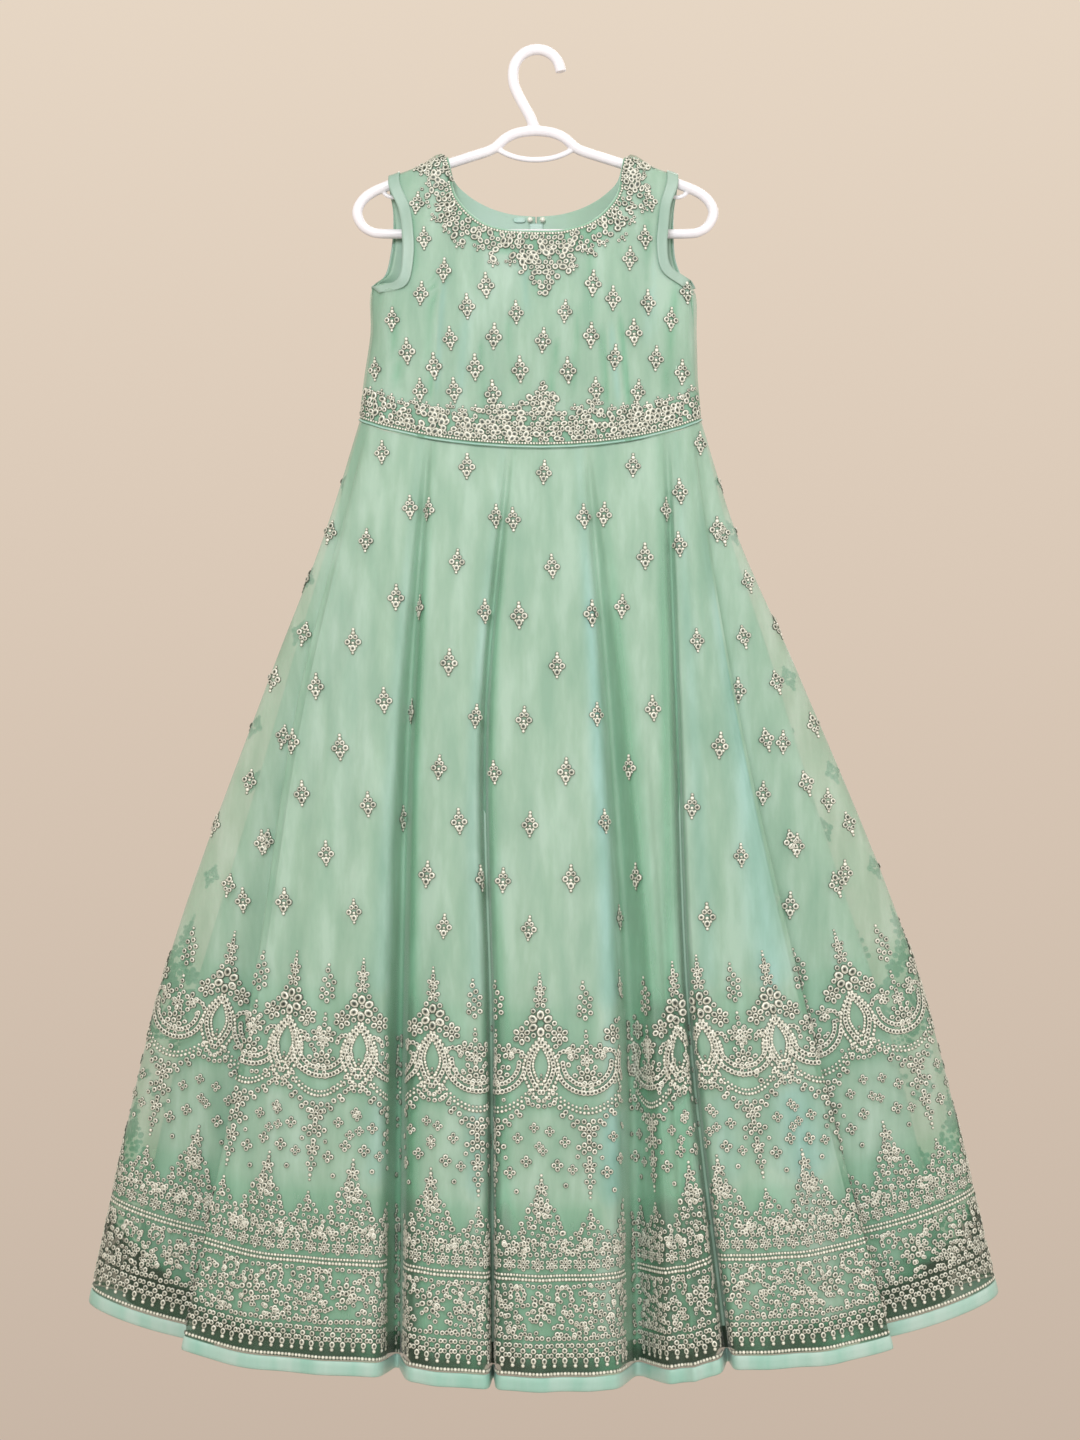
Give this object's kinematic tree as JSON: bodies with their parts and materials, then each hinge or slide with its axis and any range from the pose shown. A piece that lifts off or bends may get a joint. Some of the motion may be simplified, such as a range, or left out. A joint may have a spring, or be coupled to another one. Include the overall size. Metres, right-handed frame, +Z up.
{
  "type": "maxi dress on a hanger",
  "caption": "Floor-length sleeveless evening dress with a flared panelled sheer skirt over a satin lining, embroidered neck and waist, hung on a tubular hanger.",
  "frame": {"origin": "inner top of the hanger's hook, where a nail, peg or rail carries it", "axes": "+X to the viewer's right as the dress is seen from its front, -Y out of the front of the dress, +Z up"},
  "size_m": [1.0454, 0.1887, 1.5072],
  "materials": {
    "net": "sheer mint net",
    "lining": "satin lining",
    "satin": "glossy aqua satin",
    "embroidery": "pale beadwork on net",
    "bead": "pearly",
    "plastic": "moulded white"
  },
  "bodies": {
    "root": {"armhole_strip_back_left": "satin", "armhole_strip_back_right": "satin", "armhole_strip_front_left": "satin", "armhole_strip_front_right": "satin", "back_placket": "satin", "bodice_back_left": "net", "bodice_back_right": "net", "bodice_front": "net", "bodice_lining_back_left": "lining", "bodice_lining_back_right": "lining", "bodice_lining_front": "lining", "hanger": "plastic", "hem_binding": "satin", "neck_band_back_left": "embroidery", "neck_band_back_right": "embroidery", "neck_band_front": "embroidery", "neck_button_left": "bead", "neck_button_right": "bead", "neck_tab": "satin", "skirt_lining_back": "lining", "skirt_lining_front": "lining", "skirt_panel_01": "net", "skirt_panel_02": "net", "skirt_panel_03": "net", "skirt_panel_04": "net", "skirt_panel_05": "net", "skirt_panel_06": "net", "skirt_panel_07": "net", "skirt_panel_08": "net", "skirt_panel_09": "net", "skirt_panel_10": "net", "waist_band_back_left": "embroidery", "waist_band_back_right": "embroidery", "waist_band_front": "embroidery", "waist_piping": "satin"}
  },
  "joints": []
}
